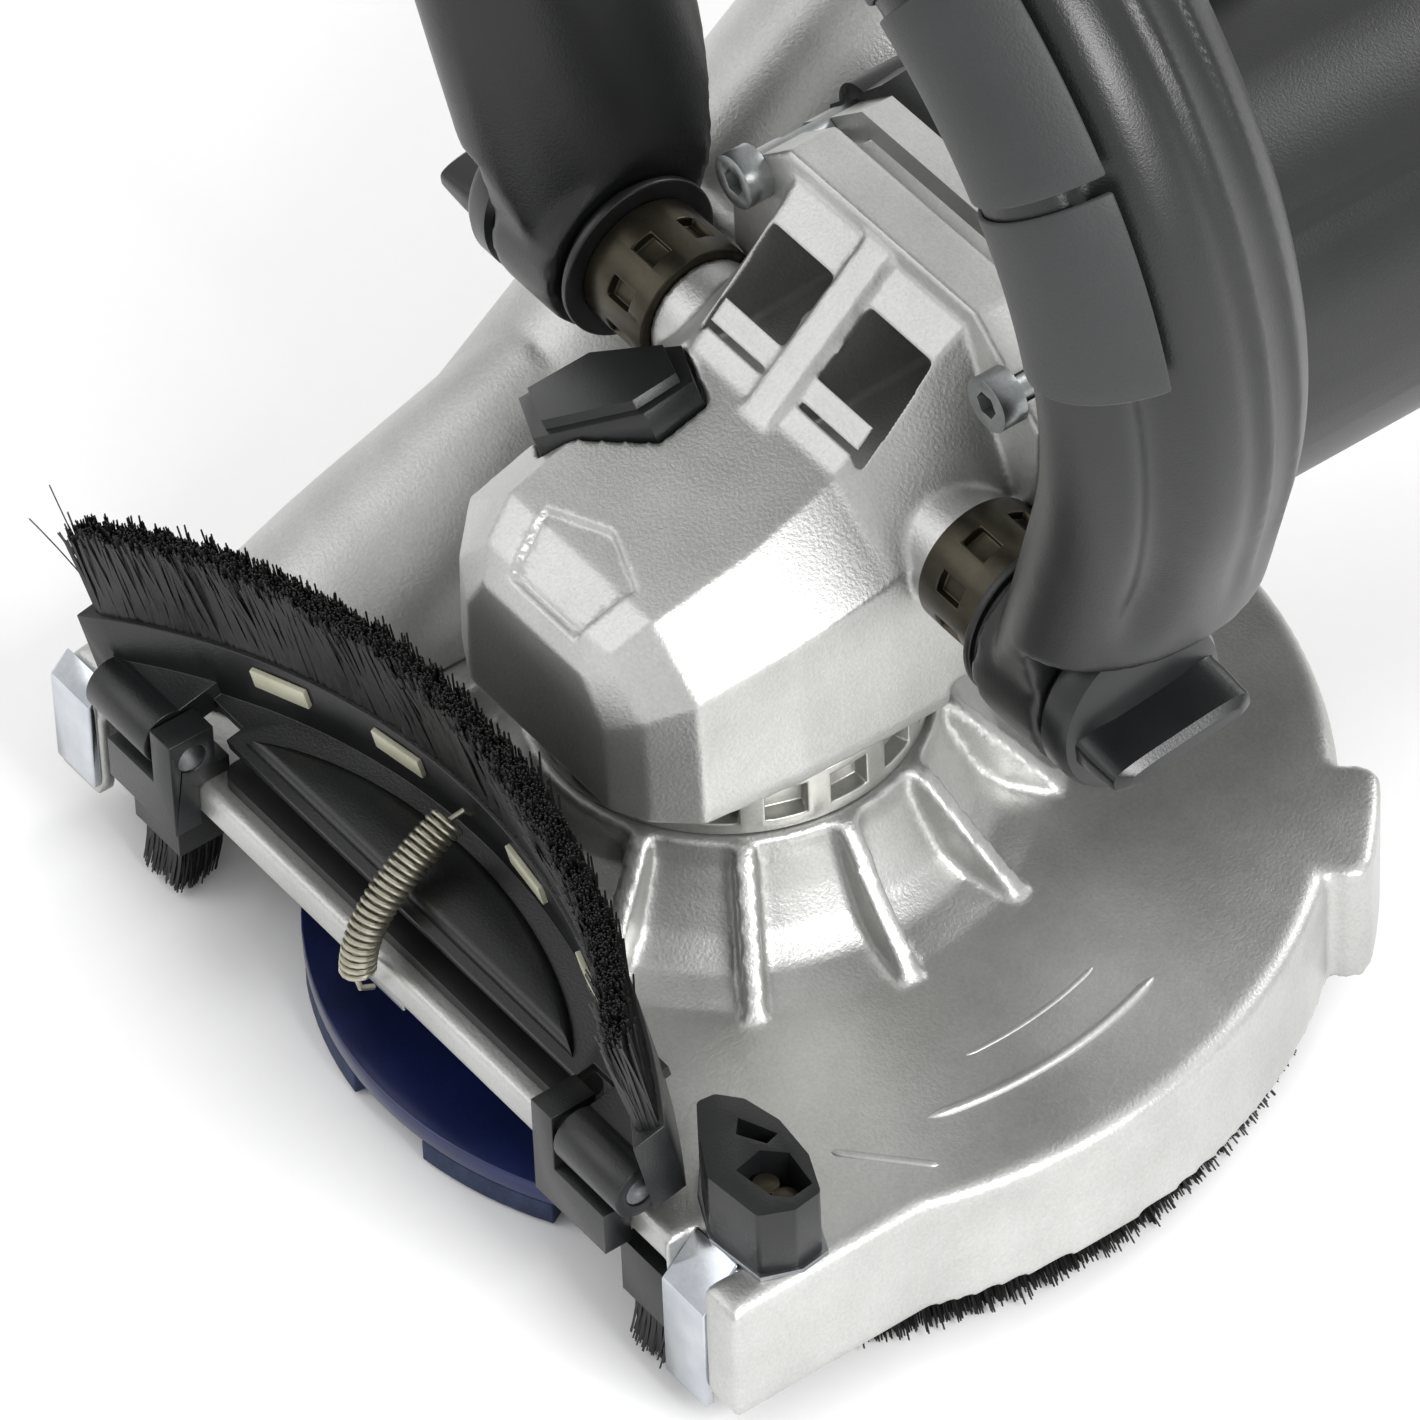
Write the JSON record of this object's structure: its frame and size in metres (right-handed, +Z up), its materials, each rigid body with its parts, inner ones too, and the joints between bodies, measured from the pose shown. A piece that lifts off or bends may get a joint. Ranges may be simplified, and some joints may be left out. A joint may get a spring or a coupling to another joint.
{
  "type": "hand-held surface grinder",
  "caption": "Hand-held surface grinder with a cup disc in a dust hood, fold-up front brush, arched clamp-on handle and suction duct.",
  "frame": {"origin": "on the spindle axis in the plane the diamond segments grind", "axes": "+Z up along the spindle towards the gear head, -Y forward to the nose and the front brush segment, +X to the side without the suction duct"},
  "size_m": [0.183, 0.4208, 0.2476],
  "materials": {
    "cast_aluminium": "fine blasted die casting",
    "ring_aluminium": "machined, satin",
    "badge_plate": "satin",
    "black_plastic": "moulded, fine texture",
    "steel": "ground",
    "olive_metal": "dark olive anodised",
    "polished_steel": "polished",
    "black_rubber": "matte",
    "bristle": "nylon bristles",
    "spring_steel": "drawn wire",
    "cream_plastic": "moulded",
    "screw_steel": "zinc plated",
    "motor_plastic": "moulded, satin",
    "lamination": "laminated",
    "copper": "bare copper",
    "grey_plastic": "moulded",
    "gear_steel": "hardened and ground",
    "carbon": "pressed carbon",
    "brass": "stamped",
    "blue_steel": "gloss blue paint",
    "diamond": "sintered",
    "handle_plastic": "moulded, fine texture",
    "grip_rubber": "soft overmould",
    "knob_plastic": "moulded, satin"
  },
  "bodies": {
    "housing": {"hood": "cast_aluminium", "suction_duct": "cast_aluminium", "duct_liner": "black_plastic", "gear_head": "cast_aluminium", "neck_ring": "ring_aluminium", "nose_badge": "badge_plate", "motor_flange": "cast_aluminium", "flange_screws": "screw_steel", "motor_housing": "motor_plastic", "stator": "lamination", "front_bearing": "steel", "rear_bearing": "steel", "rear_bearing_bridge": "cast_aluminium", "carbon_brushes": "carbon", "brush_holders": "brass", "brush_caps": "black_plastic", "spindle_bearing": "steel", "rear_handle_right": "handle_plastic", "rear_handle_left": "handle_plastic", "switch_module": "grey_plastic", "control_board": "grey_plastic", "dial_carrier": "grey_plastic", "cable_gland": "black_rubber", "clamp_hubs": "olive_metal", "corner_block": "black_plastic", "block_shim": "steel", "block_screws": "olive_metal", "wear_plates": "polished_steel", "hinge_bracket_right": "black_plastic", "hinge_bracket_left": "black_plastic", "front_seal": "black_rubber", "spring_anchor": "steel", "segment_pins": "steel", "float_springs": "spring_steel", "segment_spring": "spring_steel"},
    "spindle": {"spindle": "gear_steel", "crown_gear": "gear_steel", "clamp_flange": "steel", "lock_nut": "steel", "cup_disc": "blue_steel", "diamond_segments": "diamond"},
    "armature": {"armature": "lamination", "armature_windings": "copper", "commutator": "copper", "fan": "grey_plastic", "pinion": "gear_steel"},
    "front_segment": {"segment_frame": "black_plastic", "segment_bristles": "bristle", "segment_clips": "cream_plastic"},
    "brush_ring": {"brush_ring": "black_plastic", "ring_bristles": "bristle"},
    "bail_handle": {"bail_handle": "handle_plastic", "grip_inserts": "grip_rubber", "clamp_rings": "black_plastic"},
    "wing_knob_right": {"wing_knob_right": "knob_plastic"},
    "wing_knob_left": {"wing_knob_left": "knob_plastic"},
    "lock_button": {"lock_button": "knob_plastic"},
    "switch_paddle": {"switch_paddle": "black_plastic"},
    "speed_dial": {"speed_dial": "black_plastic"},
    "hose_connector": {"hose_connector": "black_plastic"}
  },
  "joints": [
    {"name": "spindle_spin", "type": "hinge", "parent": "housing", "child": "spindle", "pos_m": [0, 0, 0], "axis": [0, 0, 1], "continuous": true},
    {"name": "armature_spin", "type": "hinge", "parent": "housing", "child": "armature", "pos_m": [0, 0, 0.087], "axis": [0, 1, 0], "continuous": true},
    {"name": "segment_fold", "type": "hinge", "parent": "housing", "child": "front_segment", "pos_m": [-0.0042, -0.0624, 0.0366], "axis": [1, 0, 0], "range_deg": [0, 167.6], "deforming": ["segment_spring"]},
    {"name": "brush_float", "type": "slide", "parent": "housing", "child": "brush_ring", "axis": [0, 0, 1], "range_m": [0, 0.0035], "stiffness_N_per_m": 1500, "springref_m": -0.004, "deforming": ["float_springs"]},
    {"name": "bail_tilt", "type": "hinge", "parent": "housing", "child": "bail_handle", "pos_m": [0, 0.021, 0.09], "axis": [1, 0, 0], "range_deg": [-30, 60]},
    {"name": "knob_right_turn", "type": "hinge", "parent": "bail_handle", "child": "wing_knob_right", "pos_m": [0.066, 0.021, 0.09], "axis": [1, 0, 0], "range_deg": [0, 180]},
    {"name": "knob_left_turn", "type": "hinge", "parent": "bail_handle", "child": "wing_knob_left", "pos_m": [-0.066, 0.021, 0.09], "axis": [-1, 0, 0], "range_deg": [0, 180]},
    {"name": "lock_press", "type": "slide", "parent": "housing", "child": "lock_button", "axis": [0.4201, 0.16, -0.8932], "range_m": [0, 0.003], "stiffness_N_per_m": 800, "springref_m": -0.001},
    {"name": "switch_press", "type": "slide", "parent": "housing", "child": "switch_paddle", "axis": [0, 0, 1], "range_m": [0, 0.004], "stiffness_N_per_m": 1000, "springref_m": -0.001},
    {"name": "speed_turn", "type": "hinge", "parent": "housing", "child": "speed_dial", "pos_m": [0, 0.173, 0.1142], "axis": [1, 0, 0], "range_deg": [0, 300]},
    {"name": "hose_swivel", "type": "hinge", "parent": "housing", "child": "hose_connector", "pos_m": [-0.066, 0.09424, 0.10001], "axis": [0, 0.7986, 0.6018], "continuous": true}
  ],
  "couplings": [
    {"joint": "armature_spin", "follows": "spindle_spin", "ratio": 3}
  ]
}
